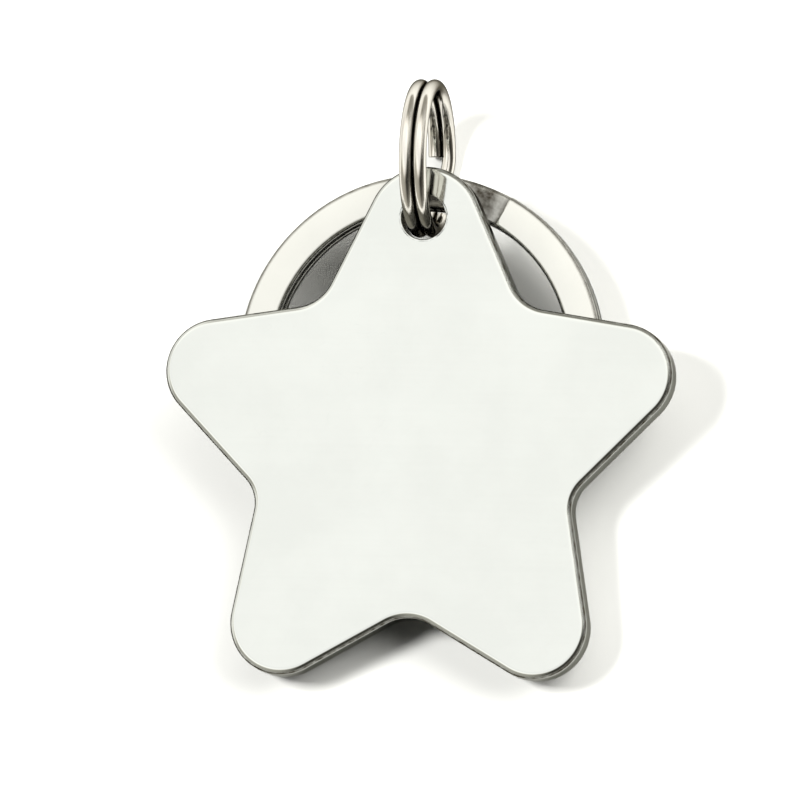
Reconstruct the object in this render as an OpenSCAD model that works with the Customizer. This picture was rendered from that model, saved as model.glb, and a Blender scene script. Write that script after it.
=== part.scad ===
// Star shaped pet tag with a small round wire ring and a flat split key ring.
// The set lies on a table as it is laid down by hand: the wire ring stands on its edge,
// the key ring leans in it, and the star plate lies on the key ring.
// X is to the right of the plate's face, Y points to its top tip and Z is up.
// The origin is the middle of the set's outer box, on the table.

/* [Star plate] */
// Thickness of the plate
plate_t = 2.4; // [1.6:0.1:3]
// Radius of the rounded rim round both faces
plate_edge_r = 0.5; // [0.2:0.05:0.6]
// Height of the top tip's centre over the middle of the star
top_tip_y = 15.7; // [14:0.1:17.5]
// Radius of the top tip
top_tip_r = 4.4; // [4:0.1:5]
// Distance of an arm tip's centre from the middle line
arm_tip_x = 15.6; // [14.5:0.1:18]
// Height of an arm tip's centre
arm_tip_y = 4.4; // [3.5:0.1:5.5]
// Radius of an arm tip
arm_tip_r = 3.9; // [3:0.1:4.5]
// Distance of a foot tip's centre from the middle line
foot_tip_x = 9.7; // [9:0.1:11]
// Depth of a foot tip's centre under the middle of the star
foot_tip_drop = 14.7; // [13.5:0.1:16]
// Radius of a foot tip
foot_tip_r = 4; // [3.2:0.1:4.6]
// Distance of an upper notch's centre from the middle line
upper_notch_x = 9.95; // [9.6:0.05:10.8]
// Height of an upper notch's centre
upper_notch_y = 12.5; // [12.2:0.1:13.4]
// Radius of an upper notch
upper_notch_r = 3.25; // [2.6:0.05:4]
// Distance of a side notch's centre from the middle line
side_notch_x = 14.95; // [14.8:0.05:16]
// Depth of a side notch's centre under the middle of the star
side_notch_drop = 5.8; // [5.2:0.1:6.4]
// Radius of a side notch
side_notch_r = 2.75; // [2.4:0.05:3.6]
// Depth of the lower notch's centre under the middle of the star
lower_notch_drop = 17.6; // [17:0.05:18.6]
// Radius of the lower notch
lower_notch_r = 3.35; // [2.8:0.05:4.2]
// Distance from the end of the top tip to the middle of the hole
hole_in = 3.9; // [3.5:0.05:4.1]
// Radius of the hole
hole_r = 1.7; // [1.6:0.05:1.9]
// Radius of the rounded lip of the hole
hole_edge_r = 0.1; // [0.1:0.05:0.3]

/* [Wire ring] */
// Outer diameter of the wire ring
ring_od = 12; // [11.6:0.1:12.6]
// Diameter of its wire
wire_d = 1; // [0.8:0.05:1.1]
// Clearance between its two turns, side by side
turn_gap = 0.1; // [0.05:0.01:0.2]
// Direction of the middle of its crossing, seen from the right
wire_cross_mid = -103; // [-112:1:-94]
// Half the angle that its crossing takes up
wire_cross_half = 28; // [24:1:34]
// Distance of its middle to the left of the star's middle line
ring_shift = 0.2; // [0:0.05:0.25]
// Clearance from the wire to the hole's edge nearest the star's middle
hole_seat = 0.4; // [0.35:0.01:0.6]

/* [Key ring] */
// Outer diameter of the key ring
key_od = 28; // [25:0.5:32]
// Width of its flat wire
band_w = 2.6; // [2:0.1:2.8]
// Thickness of its flat wire
band_t = 1.1; // [0.8:0.05:1.2]
// Radius of the wire's rounded corners
band_edge_r = 0.35; // [0.2:0.05:0.4]
// Clearance between its two layers
layer_gap = 0.05; // [0.03:0.01:0.1]
// Distance of its middle to the left of the star's middle line
key_shift = 0.45; // [0:0.05:1]
// Direction of the low end of its crossing, seen from above
band_cross_low = 62; // [55:1:66]
// Direction of the high end of its crossing, seen from above
band_cross_high = 82; // [78:1:84]
// Clearance between its wire and the inside of the wire ring
band_seat = 0.1; // [0.05:0.01:0.2]

/* [Fit] */
// Height of the plate's mid plane over the middle of the wire ring
plate_lift = 0.3; // [0.2:0.05:0.4]
// Clearance between the plate's back and the key ring
face_gap = 0.1; // [0.05:0.01:0.2]

/* [Hidden] */
// Sides of the finest round stretches
$fn = 96;
// How far a cutter runs past what it cuts
overrun = 0.5;
// How far a straight edge stands inside the arcs at its ends, so that they cross cleanly
edge_set = 0.005;
// How far a rim's arc reaches past the faces that it joins, so that they cross cleanly
rim_set = 0.01;
// How far the stepped stretch of a ring's wire stays inside the surface of its turns
nest = 0.003;
// Share of the crossing's angle that it runs on into the turn at each end
lap_share = 0.01;

// The star's tips and notches, anticlockwise from the top tip
star_centres = [
    [0, top_tip_y],
    [-upper_notch_x, upper_notch_y],
    [-arm_tip_x, arm_tip_y],
    [-side_notch_x, -side_notch_drop],
    [-foot_tip_x, -foot_tip_drop],
    [0, -lower_notch_drop],
    [foot_tip_x, -foot_tip_drop],
    [side_notch_x, -side_notch_drop],
    [arm_tip_x, arm_tip_y],
    [upper_notch_x, upper_notch_y]
];
star_radii = [
    top_tip_r, upper_notch_r, arm_tip_r, side_notch_r, foot_tip_r,
    lower_notch_r, foot_tip_r, side_notch_r, arm_tip_r, upper_notch_r
];
corners = len(star_centres);
hole_y = top_tip_y + top_tip_r - hole_in;

// The wire ring and the places of the other two pieces, from its middle
wire_r = wire_d / 2;
ring_r = ring_od / 2;
ring_mid_r = ring_r - wire_r;
turn_pitch = wire_d + turn_gap;
hole_u = hole_r - ring_r - hole_seat;
star_u = hole_u - hole_y;
layer_pitch = band_t + layer_gap;
band_mid_r = key_od / 2 - band_w / 2;
key_top_n = plate_lift - plate_t / 2 - face_gap;
key_mid_n = key_top_n - band_t - layer_gap / 2;
key_low_n = key_top_n - 2 * band_t - layer_gap;
band_reach = ring_r - wire_d - band_seat;
band_u = band_w / 2 - sqrt(band_reach * band_reach - key_low_n * key_low_n);
key_u = band_u - sqrt(band_mid_r * band_mid_r - key_shift * key_shift);

// The lean that sets the key ring's far edge on the table
lean_run = key_od / 2 - key_u - band_edge_r;
lean_drop = -key_low_n - band_edge_r;
lean = asin((ring_r - band_edge_r) / norm([lean_run, lean_drop])) - atan2(lean_drop, lean_run);

// Half the set's length along Y puts the origin in the middle
foot_u = star_u - foot_tip_drop - foot_tip_r + plate_edge_r;
foot_n = plate_lift + plate_t / 2 - plate_edge_r;
foot_y = foot_u * cos(lean) - foot_n * sin(lean) - plate_edge_r;
ring_y = -(ring_r + foot_y) / 2;

// Direction turned by an angle
function turned(v, a) = [v.x * cos(a) - v.y * sin(a), v.x * sin(a) + v.y * cos(a)];

// Even corners are tips with the plate inside the arc, odd ones are notches
function side(k) = k % 2 == 0 ? 1 : -1;
function after(k) = (k + 1) % corners;

// Unit direction of the straight edge from corner k to the next one
function edge_dir(k) =
    let (
        step = star_centres[after(k)] - star_centres[k],
        swing = asin((star_radii[k] + star_radii[after(k)] - 2 * edge_set) / norm(step))
    ) turned(step / norm(step), side(k) * swing);

// Point where the edge with direction e passes corner k, just inside its arc
function touch(k, e) = star_centres[k] + side(k) * (star_radii[k] - edge_set) * [e.y, -e.x];
function edge_start(k) = touch(k, edge_dir(k));
function edge_end(k) = touch(after(k), edge_dir(k));

// What a rounded rim of radius r takes off a square corner at the origin
module rim_waste(r) {
    difference() {
        translate([-r, -r]) square(r + overrun);
        translate([rim_set - r, rim_set - r]) circle(r = r);
    }
}

// The rim's waste along the straight edge after corner k, run past its tip end
module edge_waste(k) {
    e = edge_dir(k);
    from = edge_start(k) - (side(k) == 1 ? overrun : 0) * e;
    to = edge_end(k) + (side(k) == 1 ? 0 : overrun) * e;
    translate(from) rotate(atan2(e.y, e.x)) rotate([90, 0, 90])
        linear_extrude(norm(to - from)) mirror([1, 0]) rim_waste(plate_edge_r);
}

// The plate between its straight edges, rounded along them on both faces
module straight_part() {
    difference() {
        translate([0, 0, -plate_t / 2]) linear_extrude(plate_t)
            polygon([for (k = [0:corners - 1]) each [edge_start(k), edge_end(k)]]);
        for (k = [0:corners - 1], m = [0, 1])
            mirror([0, 0, m]) translate([0, 0, plate_t / 2]) edge_waste(k);
    }
}

// A round tip of the plate
module tip(r) {
    rotate_extrude() difference() {
        translate([0, -plate_t / 2]) square([r, plate_t]);
        for (m = [0, 1]) mirror([0, m]) translate([r, plate_t / 2]) rim_waste(plate_edge_r);
    }
}

// A round opening in the plate with lips of radius edge_r
module opening(r, edge_r) {
    rotate_extrude() {
        translate([0, -plate_t / 2 - overrun]) square([r, plate_t + 2 * overrun]);
        for (m = [0, 1])
            mirror([0, m]) translate([r, plate_t / 2]) mirror([1, 0]) rim_waste(edge_r);
    }
}

// Puts what is drawn flat, from the middle of the wire ring, at its leaning place
module laid() {
    translate([0, ring_y, ring_r]) rotate([lean, 0, 0]) children();
}

// Eased step from -1/2 to 1/2 as s goes from 0 to 1, level before and after
function eased(s) = let (c = min(max(s, 0), 1)) c * c * (3 - 2 * c) - 1 / 2;

// The stretch of a two-turn ring where the wire steps from one turn to the other,
// run a little way into the turn at each end. Every section stands square on its radius.
module crossing(section, mid_r, from, to, rise, steps) {
    sides = len(section);
    shares = [-lap_share, each [for (i = [0:steps]) i / steps], 1 + lap_share];
    rows = len(shares);
    points = [
        for (s = shares)
            let (a = from + (to - from) * s, z = rise * eased(s))
                for (p = section) [(mid_r + p.x) * cos(a), (mid_r + p.x) * sin(a), z + p.y]
    ];
    walls = [
        for (i = [0:rows - 2], j = [0:sides - 1])
            let (n = (j + 1) % sides, a = i * sides, b = a + sides)
                each [[a + j, b + n, b + j], [a + j, a + n, b + n]]
    ];
    ends = [
        [for (j = [sides - 1:-1:0]) j],
        [for (j = [0:sides - 1]) (rows - 1) * sides + j]
    ];
    polyhedron(points, concat(walls, ends), convexity = 4);
}

// One turn of a two-turn ring, from where the crossing ends round to where it starts
module turn(mid_r, from, to, z) {
    rotate(to) rotate_extrude(angle = 360 - (to - from))
        translate([mid_r, z]) children();
}

// Steps along the crossing of each ring
wire_steps = 24;
band_steps = 16;

// Points of the round wire's section in the crossing
round_sides = 24;
round_section = [
    for (j = [0:round_sides - 1])
        (wire_r - nest) * [cos(j * 360 / round_sides), sin(j * 360 / round_sides)]
];

// Points of the flat wire's section in the crossing, a few round each corner
corner_steps = 4;
flat_half = [band_w / 2 - band_edge_r, band_t / 2 - band_edge_r];
flat_section = [
    for (q = [0:3], j = [0:corner_steps])
        let (a = 90 * (q + j / corner_steps), sx = q == 0 || q == 3 ? 1 : -1, sy = q < 2 ? 1 : -1)
            [sx * flat_half.x, sy * flat_half.y] + (band_edge_r - nest) * [cos(a), sin(a)]
];

// Section of the flat wire in the turns
module flat_wire() {
    difference() {
        square([band_w, band_t], center = true);
        for (m = [0, 1], n = [0, 1])
            mirror([m, 0]) mirror([0, n]) translate([band_w / 2, band_t / 2]) rim_waste(band_edge_r);
    }
}

// Polished star plate with rounded rims and one hole near its top tip
module star_tag() {
    color("silver") laid() translate([0, star_u, plate_lift])
        difference() {
            union() {
                straight_part();
                for (k = [0:2:corners - 1]) translate(star_centres[k]) tip(star_radii[k]);
            }
            for (k = [1:2:corners - 1])
                translate(star_centres[k]) opening(star_radii[k], plate_edge_r);
            translate([0, hole_y]) opening(hole_r, hole_edge_r);
        }
}

// Small ring of round wire, two turns side by side, standing on its edge
module wire_ring() {
    from = wire_cross_mid - wire_cross_half;
    to = wire_cross_mid + wire_cross_half;
    color("gainsboro") translate([-ring_shift, ring_y, ring_r]) rotate([90, 0, 90])
        union() {
            turn(ring_mid_r, from, to, turn_pitch / 2) circle(r = wire_r);
            turn(ring_mid_r, from, to, -turn_pitch / 2) circle(r = wire_r);
            crossing(round_section, ring_mid_r, from, to, turn_pitch, wire_steps);
        }
}

// Key ring of flat wire, two turns on top of each other, leaning in the wire ring
module key_ring() {
    color("lightgray") laid() translate([-key_shift, key_u, key_mid_n])
        union() {
            turn(band_mid_r, band_cross_low, band_cross_high, layer_pitch / 2) flat_wire();
            turn(band_mid_r, band_cross_low, band_cross_high, -layer_pitch / 2) flat_wire();
            crossing(flat_section, band_mid_r, band_cross_low, band_cross_high, layer_pitch, band_steps);
        }
}

key_ring();
wire_ring();
star_tag();
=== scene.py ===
"""A star shaped pet tag on a small wire ring and a flat key ring, laid on a pale table."""

import math
import bpy
import numpy as np
from mathutils import Matrix, Vector
from mathutils.geometry import delaunay_2d_cdt


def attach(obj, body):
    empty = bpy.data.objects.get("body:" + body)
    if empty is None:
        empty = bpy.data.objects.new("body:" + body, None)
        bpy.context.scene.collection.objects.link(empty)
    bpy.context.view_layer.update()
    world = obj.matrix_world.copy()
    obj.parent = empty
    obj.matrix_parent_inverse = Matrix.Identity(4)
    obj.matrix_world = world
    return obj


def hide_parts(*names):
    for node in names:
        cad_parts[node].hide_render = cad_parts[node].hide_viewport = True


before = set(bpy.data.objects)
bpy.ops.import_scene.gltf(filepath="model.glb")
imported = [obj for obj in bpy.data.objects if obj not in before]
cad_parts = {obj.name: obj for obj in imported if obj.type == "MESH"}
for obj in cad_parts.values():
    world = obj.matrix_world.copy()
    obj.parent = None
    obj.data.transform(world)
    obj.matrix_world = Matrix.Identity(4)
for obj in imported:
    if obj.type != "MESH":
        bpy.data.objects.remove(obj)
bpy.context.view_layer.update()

# How the set lies. The wire ring stands on its edge on the table, the key ring leans in
# it with its far edge on the table, and the star lies on the key ring, so that its face
# leans a few degrees. Lengths are in millimetres until they become points.
MM = 0.001
LEAN = math.radians(5.5237)
RING_R = 6.0
RING_Y = 16.7573
STAR_U, STAR_N = -20.9, 0.3


def laid(points):
    """Points drawn flat round the wire ring's middle, laid as the set lies, in metres.

    They are turned by the lean about X and lifted to the middle of the wire ring."""
    x, u, n = points[..., 0], points[..., 1], points[..., 2]
    y = RING_Y + u * math.cos(LEAN) - n * math.sin(LEAN)
    z = RING_R + u * math.sin(LEAN) + n * math.cos(LEAN)
    return np.stack([x, y, z], -1) * MM


def into_scene(name, data):
    """An object of that data, linked to the scene."""
    item = bpy.data.objects.new(name, data)
    bpy.context.scene.collection.objects.link(item)
    return item


# The camera looks down on the star from a little below and to the right, from far off.
# Its turn, its distance and its scale come from a fit of the star's outline, and STAR_PX
# is where the star's middle is in the picture.
PICTURE_PX, STAR_PX = 800, (418.04, 431.79)
PX_PER_MM, DISTANCE, SENSOR = 13.265, 900.0, 36.0
TO_RIGHT, TO_FRONT, ROLL = math.radians(12.0), math.radians(7.541), math.radians(2.345)
toward = np.array([math.tan(TO_RIGHT), -math.tan(TO_FRONT), 1.0])
toward /= np.linalg.norm(toward)
level = np.cross([0.0, 1.0, 0.0], toward)
level /= np.linalg.norm(level)
upright = np.cross(toward, level)
right = math.cos(ROLL) * level + math.sin(ROLL) * upright
up = math.cos(ROLL) * upright - math.sin(ROLL) * level
off_right, off_up = PICTURE_PX / 2 - STAR_PX[0], STAR_PX[1] - PICTURE_PX / 2
aim = np.array([0.0, STAR_U, STAR_N])
aim = aim + right * off_right / PX_PER_MM + up * off_up / PX_PER_MM
eye, sight, beside = laid(np.array([aim + toward * DISTANCE, aim, aim + right]))
back = (eye - sight) / np.linalg.norm(eye - sight)
beside = (beside - sight) / np.linalg.norm(beside - sight)
lens = bpy.data.cameras.new("camera")
lens.sensor_width = SENSOR
lens.lens = PX_PER_MM * DISTANCE / PICTURE_PX * SENSOR
lens.clip_start, lens.clip_end = 0.01, 10.0
camera = into_scene("camera", lens)
placing = np.eye(4)
placing[:3, :] = np.stack([beside, np.cross(back, beside), back, eye], -1)
camera.matrix_world = Matrix(placing.tolist())
bpy.context.scene.camera = camera

# The star plate. It is cut from 2.4 mm stainless sheet with one hole near its top tip,
# tumbled until both rims are round, and polished to a mirror, which leaves faint
# polishing lines across the face and a few hairlines from handling.
PLATE_T, RIM_R, RIM_FLAT = 2.4, 0.5, 0.12
TIPS = np.array([[0, 15.7], [-15.6, 4.4], [-9.7, -14.7], [9.7, -14.7], [15.6, 4.4]])
NOTCHES = np.array([[-9.95, 12.5], [-14.95, -5.8], [0, -17.6], [14.95, -5.8], [9.95, 12.5]])
TIP_R = np.array([4.4, 3.9, 4.0, 4.0, 3.9])
NOTCH_R = np.array([3.25, 2.75, 3.35, 2.75, 3.25])
HOLE_R, HOLE_SIDES, LIP_R, LIP_FLAT = 1.7, 96, 0.1, 0.08
HOLE_DROP = 3.9
HOLE_Y = TIPS[0, 1] + TIP_R[0] - HOLE_DROP


def star_path(arc_points, edge_points):
    """Outline of the star as points and outward normals, anticlockwise.

    Tips and notches take turns. The straight edge between two of them touches both
    circles from opposite sides: its direction is the line between their centres, turned
    by the angle whose sine is the sum of the radii over the distance. An arc point is
    its centre plus the radius along the normal for a tip, minus it for a notch."""
    centres = np.stack([TIPS, NOTCHES], 1).reshape(-1, 2)
    radii = np.stack([TIP_R, -NOTCH_R], 1).ravel()
    step = np.roll(centres, -1, 0) - centres
    gap = np.linalg.norm(step, axis=1)
    swing = np.arcsin((radii - np.roll(radii, -1)) / gap)
    heading = np.arctan2(step[:, 1], step[:, 0]) + swing
    leaves = heading - math.pi / 2
    arrives = np.roll(leaves, 1)
    sweep = (leaves - arrives + math.pi) % (2 * math.pi) - math.pi
    share = np.linspace(0, 1, arc_points)
    a = arrives[:, None] + sweep[:, None] * share
    normals = np.stack([np.cos(a), np.sin(a)], -1)
    points = centres[:, None] + radii[:, None, None] * normals
    ahead = np.roll(points, -1, 0)[:, :1]
    along = np.linspace(0, 1, edge_points + 2)[1:-1, None]
    lines = points[:, -1:] + (ahead - points[:, -1:]) * along
    points = np.concatenate([points, lines], 1)
    normals = np.concatenate([normals, np.repeat(normals[:, -1:], edge_points, 1)], 1)
    return points.reshape(-1, 2), normals.reshape(-1, 2)


def full_turn(count):
    """Angles of that many even steps round a circle."""
    return np.linspace(0, 2 * math.pi, count + 1)[:-1]


def rounded_side(thickness, r, flat, steps):
    """Profile from one face over its round rim, down the side and round to the other face.

    Gives inset and height: inset is r(1 - sin a), height is half the thickness less
    r(1 - cos a), with a from 0 to a right angle. It starts a little way in on the flat."""
    a = np.linspace(0, math.pi / 2, steps)
    inset = np.concatenate([[r + flat], r * (1 - np.sin(a))])
    height = thickness / 2 - np.concatenate([[0], r * (1 - np.cos(a))])
    return np.concatenate([inset, inset[::-1]]), np.concatenate([height, -height[::-1]])


def swept(points, normals, insets, heights):
    """The profile carried along the path: point less inset times normal, at the height."""
    flat = points[:, None] - insets[:, None] * normals[:, None]
    lifted = np.broadcast_to(heights[:, None], flat.shape[:2] + (1,))
    return np.concatenate([flat, lifted], -1)


def face_triangles(outer, hole):
    """Triangles of the flat face from its outline to the hole's lip, as row numbers of both.

    Of all the triangles between the two loops, those stay whose middle is out of the hole
    and has an odd count of outline edges to its right."""
    loops = np.concatenate([outer, hole])
    count, hole_count = len(outer), len(hole)
    edges = [(i, (i + 1) % count) for i in range(count)]
    edges += [(count + i, count + (i + 1) % hole_count) for i in range(hole_count)]
    found = delaunay_2d_cdt([Vector(p) for p in loops.tolist()], edges, [], 0, 1e-7)
    rows = np.array([ids[0] for ids in found[3]])
    triangles = rows[np.array(found[2])]
    middle = loops[triangles].mean(1)
    start, end = outer, np.roll(outer, -1, 0)
    crosses = (start[:, 1] > middle[:, None, 1]) != (end[:, 1] > middle[:, None, 1])
    run = (middle[:, None, 1] - start[:, 1]) / (end[:, 1] - start[:, 1] + 1e-30)
    to_right = start[:, 0] + run * (end[:, 0] - start[:, 0]) > middle[:, None, 0]
    inside = (crosses & to_right).sum(1) % 2 == 1
    clear = np.linalg.norm(middle - hole.mean(0), axis=1) > HOLE_R
    return triangles[inside & clear]


def grid_faces(rows, columns, round_rows=False, round_columns=False, first=0):
    """Quads between neighbouring points of a grid, joined round where asked."""
    i = np.arange(rows if round_rows else rows - 1)[:, None]
    j = np.arange(columns if round_columns else columns - 1)[None, :]
    i2, j2 = (i + 1) % rows, (j + 1) % columns
    quads = [i * columns + j, i2 * columns + j, i2 * columns + j2, i * columns + j2]
    return np.stack(np.broadcast_arrays(*quads), -1).reshape(-1, 4) + first


def on_rounds(heights, thickness, r):
    """One on a rounded rim's middle, none where it runs out: the sine of twice its angle."""
    a = np.arccos(np.clip(1 - (thickness / 2 - np.abs(heights)) / r, 0, 1))
    return np.sin(2 * a)


def piece_from(name, points, faces, body, node, rubbed, painted_dark):
    """A smooth piece of points in metres and face arrays, in place of a CAD node.

    Each point also says how much handling has rubbed it and how dark it is painted, as painted shade and
    painted dark lines."""
    mesh = bpy.data.meshes.new(name)
    mesh.from_pydata(points.tolist(), [], [f for part in faces for f in part.tolist()])
    mesh.shade_smooth()
    mesh.update()
    for word, amount in (("rubbed", rubbed), ("painted_dark", painted_dark)):
        marks = mesh.attributes.new(word, "FLOAT", "POINT")
        marks.data.foreach_set("value", amount.ravel().astype(np.float32))
    piece = into_scene(name, mesh)
    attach(piece, body)
    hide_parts(node)
    return piece


outline, outward = star_path(arc_points=40, edge_points=6)
inset, height = rounded_side(PLATE_T, RIM_R, RIM_FLAT, steps=14)
side = swept(outline, outward, inset, height)
hole_turn = full_turn(HOLE_SIDES)
circle = np.stack([np.cos(hole_turn), np.sin(hole_turn)], -1)
lip_inset, lip_height = rounded_side(PLATE_T, LIP_R, LIP_FLAT, steps=8)
bore = swept(circle * HOLE_R + [0, HOLE_Y], -circle, lip_inset, lip_height)
triangles = face_triangles(side[:, 0, :2], bore[:, 0, :2])
rim_rows, rim_columns = side.shape[:2]
lip_rows, lip_columns = bore.shape[:2]
rim_count = rim_rows * rim_columns
rim_starts = np.arange(rim_rows) * rim_columns
lip_starts = rim_count + np.arange(lip_rows) * lip_columns
front = np.concatenate([rim_starts, lip_starts])
rear = np.concatenate([rim_starts + rim_columns - 1, lip_starts + lip_columns - 1])
plate_points = np.concatenate([side.reshape(-1, 3), bore.reshape(-1, 3)])

# Handling rubs the plate's roundings most and its side a little. A painted dark line, standing in for the
# dark surroundings that the rounding mirrors, goes round the upper rim where its rounding is steep, and
# painted shade darkens the hole's wall.
SIDE_RUB, HOLE_PAINTED_SHADE = 0.25, 0.8
PAINTED_LINE_TURN, PAINTED_LINE_SPREAD = 58.0, 21.0
rim_rub = (SIDE_RUB + (1 - SIDE_RUB) * on_rounds(height, PLATE_T, RIM_R)) * (inset <= RIM_R)
rim_turn = np.degrees(np.arcsin(np.clip(1 - inset / RIM_R, 0, 1)))
# Painted dark line on the upper rim, a painted reflection of dark surroundings.
rim_painted_line = np.clip(1 - ((rim_turn - PAINTED_LINE_TURN) / PAINTED_LINE_SPREAD) ** 2, 0, 1) * (height > 0)
lip_rub = on_rounds(lip_height, PLATE_T, LIP_R)
# Painted shade down the hole's wall.
lip_painted_shade = HOLE_PAINTED_SHADE * (lip_inset < LIP_R / 2)
plate = piece_from(
    "star_plate",
    laid(plate_points + [0, STAR_U, STAR_N]),
    [
        grid_faces(rim_rows, rim_columns, round_rows=True)[:, ::-1],
        grid_faces(lip_rows, lip_columns, round_rows=True, first=rim_count),
        front[triangles],
        rear[triangles][:, ::-1],
    ],
    "star_tag",
    "star_tag",
    np.concatenate([np.tile(rim_rub, rim_rows), np.tile(lip_rub, lip_rows)]),
    np.concatenate([np.tile(rim_painted_line, rim_rows), np.tile(lip_painted_shade, lip_rows)]),
)


def node_in(tree, kind, **values):
    """A node of the tree with its settings and the values of its sockets."""
    node = tree.nodes.new(kind)
    for key, value in values.items():
        if key in node.inputs:
            node.inputs[key].default_value = value
        else:
            setattr(node, key, value)
    return node


# The colour of the painted shade and painted dark lines, how much duller the tone's other shade is, half
# a hairline's width in the noise's own values, and how deep the dents are, in metres.
PAINTED_DARK_TONE = (0.032, 0.026, 0.017, 1.0)
DULLER = 0.955
HAIR_HALF = 0.0015
DENT_DEPTH = 3.0e-6


def polished(name, tone, edge, gloss, smudge, grain_turn, grain_scale, grain_depth):
    """Mirror metal with polishing lines, hairline scratches and a faint mottle.

    The lines are noise stretched along one direction of the piece, grain_depth metres
    deep. Hairlines are the thin bands where a second, wider noise crosses one half. The
    mottle takes the tone a little duller and the roughness from gloss up by smudge.
    Rubbed rims are finely dented and rougher. Points marked painted_dark are darkened toward a near-black
    warm colour with a patchy edge, which is painted shade and painted dark lines. At a grazing look the
    metal's shine is taken down to edge."""
    material = bpy.data.materials.new(name)
    material.use_nodes = True
    tree = material.node_tree
    tree.nodes.clear()
    link = tree.links.new

    def noise(vector, scale, detail, roughness):
        """Noise of that scale at the vector, about one half."""
        source = node_in(tree, "ShaderNodeTexNoise", Scale=scale, Detail=detail, Roughness=roughness)
        link(vector, source.inputs["Vector"])
        return source.outputs["Fac"]

    def ranged(value, low, high, to_low=0.0, to_high=1.0):
        """A value between low and high carried to the same share of another range."""
        carrier = node_in(tree, "ShaderNodeMapRange", clamp=True)
        carrier.inputs["From Min"].default_value = low
        carrier.inputs["From Max"].default_value = high
        carrier.inputs["To Min"].default_value = to_low
        carrier.inputs["To Max"].default_value = to_high
        link(value, carrier.inputs["Value"])
        return carrier.outputs["Result"]

    def reckoned(operation, *values):
        """A number worked out from sockets and plain values."""
        sum_node = node_in(tree, "ShaderNodeMath", operation=operation)
        for socket, value in zip(sum_node.inputs, values):
            if isinstance(value, float):
                socket.default_value = value
            else:
                link(value, socket)
        return sum_node.outputs["Value"]

    place = node_in(tree, "ShaderNodeTexCoord").outputs["Object"]
    along = node_in(tree, "ShaderNodeMapping", Rotation=grain_turn, Scale=grain_scale)
    link(place, along.inputs["Vector"])
    grain = noise(along.outputs["Vector"], 1.0, 6.0, 0.65)
    mottle = noise(place, 140.0, 4.0, 0.6)
    dents = noise(place, 1900.0, 3.0, 0.55)
    crossing = ranged(noise(place, 260.0, 2.0, 0.4), 0.5 - HAIR_HALF, 0.5 + HAIR_HALF)
    hairline = reckoned("PINGPONG", crossing, 0.5)
    rubbed = node_in(tree, "ShaderNodeAttribute", attribute_name="rubbed").outputs["Fac"]
    painted_dark = node_in(tree, "ShaderNodeAttribute", attribute_name="painted_dark").outputs["Fac"]
    dented = reckoned("MULTIPLY", rubbed, dents)
    patchy = reckoned("MULTIPLY_ADD", dents, 0.9, 0.48)
    painted_dark_share = reckoned("MULTIPLY", painted_dark, patchy)

    shader = node_in(tree, "ShaderNodeBsdfPrincipled", Metallic=1.0)
    shader.inputs["Specular Tint"].default_value = (edge, edge * 0.97, edge * 0.9, 1.0)
    worn = ranged(mottle, 0.35, 0.7, gloss, gloss + smudge)
    worn = reckoned("MULTIPLY_ADD", hairline, 0.12, worn)
    worn = reckoned("MULTIPLY_ADD", dented, 0.1, worn)
    worn = reckoned("MULTIPLY_ADD", painted_dark_share, 0.1, worn)
    link(worn, shader.inputs["Roughness"])

    dulled = ranged(mottle, 0.35, 0.65)
    dulled = reckoned("MULTIPLY_ADD", ranged(grain, 0.4, 0.62), 0.14, dulled)
    dulled = reckoned("MULTIPLY_ADD", hairline, 1.2, dulled)
    shade = node_in(tree, "ShaderNodeMix", data_type="RGBA")
    shade.inputs["A"].default_value = (*tone, 1.0)
    shade.inputs["B"].default_value = (*[c * DULLER for c in tone], 1.0)
    link(dulled, shade.inputs["Factor"])
    # Painted shade: the marked points are mixed toward the painted dark tone.
    shade_painted = node_in(tree, "ShaderNodeMix", data_type="RGBA", clamp_factor=True)
    link(shade.outputs["Result"], shade_painted.inputs["A"])
    shade_painted.inputs["B"].default_value = PAINTED_DARK_TONE
    link(painted_dark_share, shade_painted.inputs["Factor"])
    link(shade_painted.outputs["Result"], shader.inputs["Base Color"])

    lines = node_in(tree, "ShaderNodeBump", Strength=1.0, Distance=grain_depth)
    link(grain, lines.inputs["Height"])
    nicks = node_in(tree, "ShaderNodeBump", Strength=1.0, Distance=DENT_DEPTH)
    link(dented, nicks.inputs["Height"])
    link(lines.outputs["Normal"], nicks.inputs["Normal"])
    link(nicks.outputs["Normal"], shader.inputs["Normal"])
    output = node_in(tree, "ShaderNodeOutputMaterial")
    link(shader.outputs["BSDF"], output.inputs["Surface"])
    return material


mirror_steel = polished(
    "mirror polished steel",
    tone=(0.6, 0.617, 0.592),
    edge=0.3,
    gloss=0.05,
    smudge=0.05,
    grain_turn=(0.0, 0.0, math.radians(32)),
    grain_scale=(60.0, 2600.0, 400.0),
    grain_depth=1.5e-7,
)
plate.data.materials.append(mirror_steel)

# The wire ring. Round spring wire is wound two turns, with its ends cut square beside
# the place where the wire steps over, and then plated bright. It goes through the star's
# hole and round the key ring's wire.
WIRE_R, WIRE_SIDES, PITCH, RING_SHIFT = 0.52, 40, 1.06, 0.2


def eased(s):
    """Level step from -1/2 to 1/2 as s goes from 0 to 1: s squared times (3 - 2 s), less a half."""
    s = np.clip(s, 0, 1)
    return s * s * (3 - 2 * s) - 0.5


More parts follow.
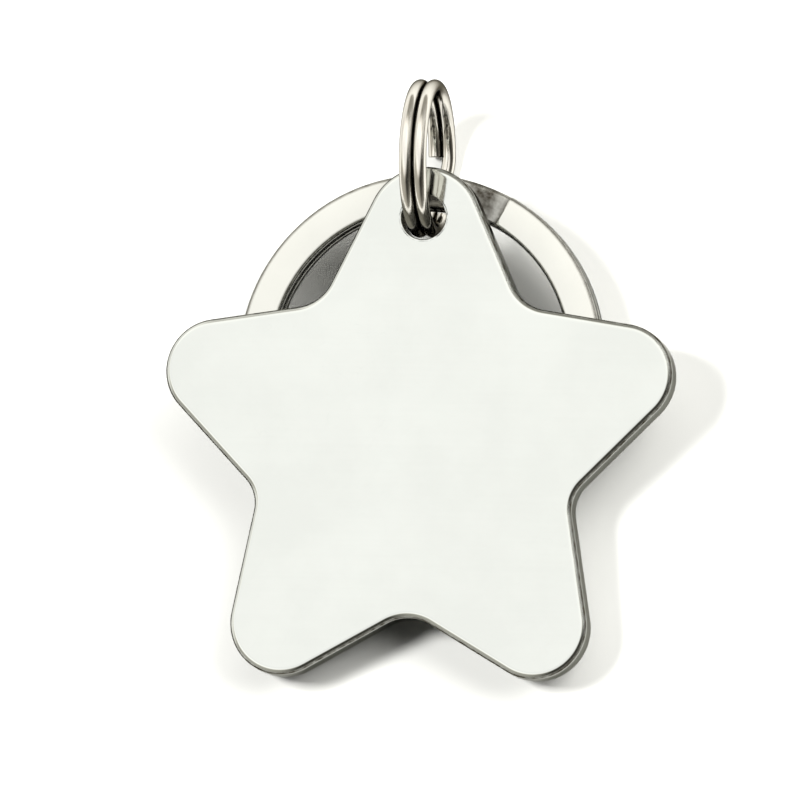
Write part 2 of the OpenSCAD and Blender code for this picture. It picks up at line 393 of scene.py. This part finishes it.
def wound(mid_r, low, high, pitch, section, cut, per_degree):
    """Two turns of wire as one tube, in the ring's own plane, with its cut ends closed.

    The middle line starts at the angle `high` on the lower turn, comes round to `low`,
    climbs one pitch with the eased step until `high`, and goes round on the upper turn to
    `low`. Each section stands square on the line: its own x is along the radius and its
    y along the cross product of the line's direction and that radius. `section(inset)`
    gives a loop of points; both ends draw in by a quarter round of radius `cut`. Given
    back are the points, the loops, for each row the side of the other turn, and the ends."""
    width = high - low
    total = 720.0 - width
    t = np.linspace(0, total, int(total * per_degree))
    quarter = np.linspace(math.pi / 2, 0, 5)
    drawn_in = cut * (1 - np.cos(quarter))
    reach = np.degrees(cut / mid_r) * (1 - np.sin(quarter))
    inset = np.concatenate([drawn_in, np.zeros(len(t) - 2), drawn_in[::-1]])
    t = np.concatenate([reach, t[1:-1], total - reach[::-1]])
    order = np.argsort(t, kind="stable")
    t, inset = t[order], inset[order]
    a = np.radians(high + t)
    s = (t - (360.0 - width)) / width
    z = pitch * eased(s)
    climb = np.where((s > 0) & (s < 1), pitch * 6 * s * (1 - s), 0)
    slope = climb / (math.radians(width) * mid_r)
    radial = np.stack([np.cos(a), np.sin(a), 0 * a], -1)
    ahead = np.stack([-np.sin(a), np.cos(a), slope], -1)
    ahead /= np.linalg.norm(ahead, axis=1, keepdims=True)
    across = np.cross(radial, ahead)
    middle = np.stack([mid_r * np.cos(a), mid_r * np.sin(a), z], -1)
    loops = np.stack([section(i) for i in inset])
    points = middle[:, None] + loops[..., :1] * radial[:, None] + loops[..., 1:] * across[:, None]
    return points, loops, (-2 * z / pitch)[:, None], (inset > 0)[:, None]


def tube_faces(rows, columns):
    """Faces of a tube with a flat cap on each end."""
    first = np.arange(columns)[None, :]
    last = first[:, ::-1] + (rows - 1) * columns
    return [grid_faces(rows, columns, round_columns=True)[:, ::-1], first, last]


def rising(values, low, high):
    """None up to low, one from high on, and even between."""
    return np.clip((values - low) / (high - low), 0, 1)


def round_loop(inset):
    """A circle of the wire's radius less the inset."""
    turn = full_turn(WIRE_SIDES)
    return (WIRE_R - inset) * np.stack([np.cos(turn), np.sin(turn)], -1)


wire, wire_loops, wire_facing, wire_ends = wound(
    RING_R - WIRE_R, low=-131.0, high=-75.0, pitch=PITCH, section=round_loop, cut=0.12, per_degree=1.0
)

# Painted shade darkens the groove between the turns, and handling rubs the outermost side of the wire and
# its cut ends.
# Painted shade in the groove between the turns.
between_turns = rising(wire_facing * wire_loops[..., 1] / WIRE_R, 0.6, 0.9)
outermost = rising(wire_loops[..., 0] / WIRE_R, 0.3, 0.8)
wire_ring = piece_from(
    "wire_split_ring",
    (wire.reshape(-1, 3)[:, [2, 0, 1]] + [-RING_SHIFT, RING_Y, RING_R]) * MM,
    tube_faces(*wire.shape[:2]),
    "wire_ring",
    "wire_ring",
    np.maximum(outermost, wire_ends),
    between_turns,
)
bright_wire = polished(
    "bright plated wire",
    tone=(0.66, 0.635, 0.585),
    edge=0.07,
    gloss=0.06,
    smudge=0.05,
    grain_turn=(0, 0, 0),
    grain_scale=(300.0, 300.0, 300.0),
    grain_depth=1.0e-7,
)
wire_ring.data.materials.append(bright_wire)

# The key ring. Flat spring wire with rounded corners is wound two turns, one layer on
# the other, with a step between them and butt ends each side of it, and plated bright.
KEY_R, BAND_W, BAND_T, BAND_EDGE_R = 14.0, 2.6, 1.1, 0.35
KEY_SHIFT, KEY_U, KEY_MID_N = 0.45, -15.0591, -2.125


def flat_loop(inset):
    """A rectangle with round corners: each corner's centre plus its radius less the inset."""
    quarter = np.linspace(0, math.pi / 2, 7)
    a = (np.arange(4)[:, None] * math.pi / 2 + quarter).ravel()
    sx = np.repeat([1, -1, -1, 1], len(quarter)) * (BAND_W / 2 - BAND_EDGE_R)
    sy = np.repeat([1, 1, -1, -1], len(quarter)) * (BAND_T / 2 - BAND_EDGE_R)
    r = BAND_EDGE_R - inset
    return np.stack([sx + r * np.cos(a), sy + r * np.sin(a)], -1)


band, band_loops, band_facing, band_ends = wound(
    KEY_R - BAND_W / 2, low=62.0, high=82.0, pitch=1.15, section=flat_loop, cut=0.15, per_degree=0.7
)

# Handling rubs the band's corners, by the sine of twice the angle round each. Painted shade darkens the
# seam between the layers, the place where the wire ring hangs and the step, and the band is darker, more
# thinly, along the corners.
WIRE_AT, WIRE_SPREAD = 91, 9
BAND_PAINTED_SHADE, CORNER_DARKENING = 0.9, 0.7
from_middle = np.abs(band_loops) - (np.array([BAND_W, BAND_T]) / 2 - BAND_EDGE_R)
corner_rub = np.clip(2 * from_middle.prod(-1) / BAND_EDGE_R**2, 0, 1)
# Painted shade in the seam, where the wire ring hangs and on the step.
seam = rising(band_facing * band_loops[..., 1] / (BAND_T / 2), 0.75, 1)
band_turn = np.degrees(np.arctan2(band[..., 1], band[..., 0]))
at_wire = BAND_PAINTED_SHADE * np.exp(-(((band_turn - WIRE_AT) / WIRE_SPREAD) ** 2))
on_step = BAND_PAINTED_SHADE * np.clip(1 - band_facing**4, 0, 1) * (band_loops[..., 1] > 0)
key_ring = piece_from(
    "flat_split_ring",
    laid(band.reshape(-1, 3) + [-KEY_SHIFT, KEY_U, KEY_MID_N]),
    tube_faces(*band.shape[:2]),
    "key_ring",
    "key_ring",
    np.maximum(corner_rub, band_ends),
    np.max(np.broadcast_arrays(seam, at_wire, on_step, CORNER_DARKENING * corner_rub), 0),
)
bright_band = polished(
    "bright plated band",
    tone=(0.63, 0.63, 0.59),
    edge=0.07,
    gloss=0.07,
    smudge=0.06,
    grain_turn=(0, 0, 0),
    grain_scale=(300.0, 300.0, 300.0),
    grain_depth=1.0e-7,
)
key_ring.data.materials.append(bright_band)

# The table is a plain pale sheet, lit until it is nearly white. The key light is a soft
# window to the left, and a broad fill from the right and the back opens up its shadows.
TABLE_HALF = 0.6
table_mesh = bpy.data.meshes.new("table")
table_corners = [(x * TABLE_HALF, y * TABLE_HALF, 0) for x, y in ((-1, -1), (1, -1), (1, 1), (-1, 1))]
table_mesh.from_pydata(table_corners, [], [(0, 1, 2, 3)])
table = into_scene("table", table_mesh)
paper = bpy.data.materials.new("pale sheet")
paper.use_nodes = True
sheet = paper.node_tree.nodes["Principled BSDF"]
sheet.inputs["Base Color"].default_value = (0.42, 0.42, 0.403, 1.0)
sheet.inputs["Roughness"].default_value = 0.9
table_mesh.materials.append(paper)

# Mirrors don't show the lamp, so that the rims keep the thin dark lines of the tent.
window_place = Vector((-0.555, 0.068, 0.829))
lamp = bpy.data.lights.new("window", "AREA")
lamp.size, lamp.energy = 0.27, 23.0
window = into_scene("window", lamp)
window.location = window_place
window.rotation_euler = window_place.to_track_quat("Z", "Y").to_euler()
window.visible_glossy = False

room = bpy.data.worlds.new("tent")
bpy.context.scene.world = room
room.use_nodes = True
air = room.node_tree
air.nodes.clear()
join = air.links.new
outward_look = node_in(air, "ShaderNodeTexCoord").outputs["Generated"]
LIGHT_GREY, WARMTH, LEAST_WARMTH = 0.6, 0.2, 0.015


def toned(level):
    """A grey of that level, warmer the darker it is under the light grey."""
    warmth = WARMTH * (1 - min(level / LIGHT_GREY, 1.0)) + LEAST_WARMTH
    return (level, level * (1 - warmth / 4), level * (1 - warmth), 1)


def glow_round(azimuth, tilt, stops, strength):
    """A background whose grey follows the cosine of the angle from one direction, by its stops."""
    a, t = math.radians(azimuth), math.radians(tilt)
    nearness = node_in(air, "ShaderNodeVectorMath", operation="DOT_PRODUCT")
    nearness.inputs[1].default_value = (math.sin(t) * math.cos(a), math.sin(t) * math.sin(a), math.cos(t))
    join(outward_look, nearness.inputs[0])
    grey = node_in(air, "ShaderNodeValToRGB")
    join(nearness.outputs["Value"], grey.inputs["Fac"])
    ends = grey.color_ramp.elements
    for element, (cosine, level) in zip(ends, (stops[0], stops[-1])):
        element.position, element.color = cosine, toned(level)
    for cosine, level in stops[1:-1]:
        ends.new(cosine).color = toned(level)
    background = node_in(air, "ShaderNodeBackground", Strength=strength)
    join(grey.outputs["Color"], background.inputs["Color"])
    return background.outputs["Background"]


def together(*glows):
    """The sum of several backgrounds."""
    total = glows[0]
    for glow in glows[1:]:
        adder = node_in(air, "ShaderNodeAddShader")
        join(total, adder.inputs[0])
        join(glow, adder.inputs[1])
        total = adder.outputs["Shader"]
    return total


def either(share, first, second=None):
    """The first background, and by that share the second, or the dark where there is none."""
    mixer = node_in(air, "ShaderNodeMixShader")
    join(share, mixer.inputs["Fac"])
    join(first, mixer.inputs[1])
    if second:
        join(second, mixer.inputs[2])
    return mixer.outputs["Shader"]


# What the metal mirrors is a tent over the set: bright on top and low down to the back
# left, grey to the back and the front left, and dark with a warm cast low down elsewhere.
# Light that the table sends back to the metal finds the tent dim, so that the shade under
# the plate stays deep.
TENT, SOFTBOX, FILL, DIMMED = 2.2, 3.2, 15.0, 0.9
top_greys = ((0.22, 0.04), (0.6, 0.012), (0.68, 0.1), (0.76, 0.4), (0.84, 0.62))
tent_top = glow_round(150, 9, ((0.0, 0.12), *top_greys, (1.0, 0.635)), TENT)
tent_side = glow_round(150, 88, ((0.62, 0.0), (0.82, 0.48), (1.0, 0.5)), TENT)
grey_side = glow_round(75, 55, ((0.4, 0.0), (0.75, 0.14), (1.0, 0.15)), TENT)
low_side = glow_round(222, 68, ((0.6, 0.0), (0.85, 0.2), (1.0, 0.25)), TENT)
softbox = glow_round(80, 52, ((0.78, 0.0), (0.96, 1.0)), SOFTBOX)
fill = glow_round(30, 57, ((0.84, 0.0), (0.97, 1.0)), FILL)
tent = together(tent_top, tent_side, grey_side, low_side)
beyond = node_in(air, "ShaderNodeBackground", Color=(1, 1, 0.99, 1), Strength=1.0)
rays = node_in(air, "ShaderNodeLightPath").outputs
after_table = node_in(air, "ShaderNodeMath", operation="MULTIPLY", use_clamp=True)
join(rays["Diffuse Depth"], after_table.inputs[0])
after_table.inputs[1].default_value = DIMMED
mirrored = either(after_table.outputs["Value"], tent)
lighting = either(rays["Is Glossy Ray"], together(softbox, fill), mirrored)
seen = either(rays["Is Camera Ray"], lighting, beyond.outputs["Background"])
join(seen, node_in(air, "ShaderNodeOutputWorld").inputs["Surface"])
bpy.context.scene.view_settings.view_transform = "Standard"
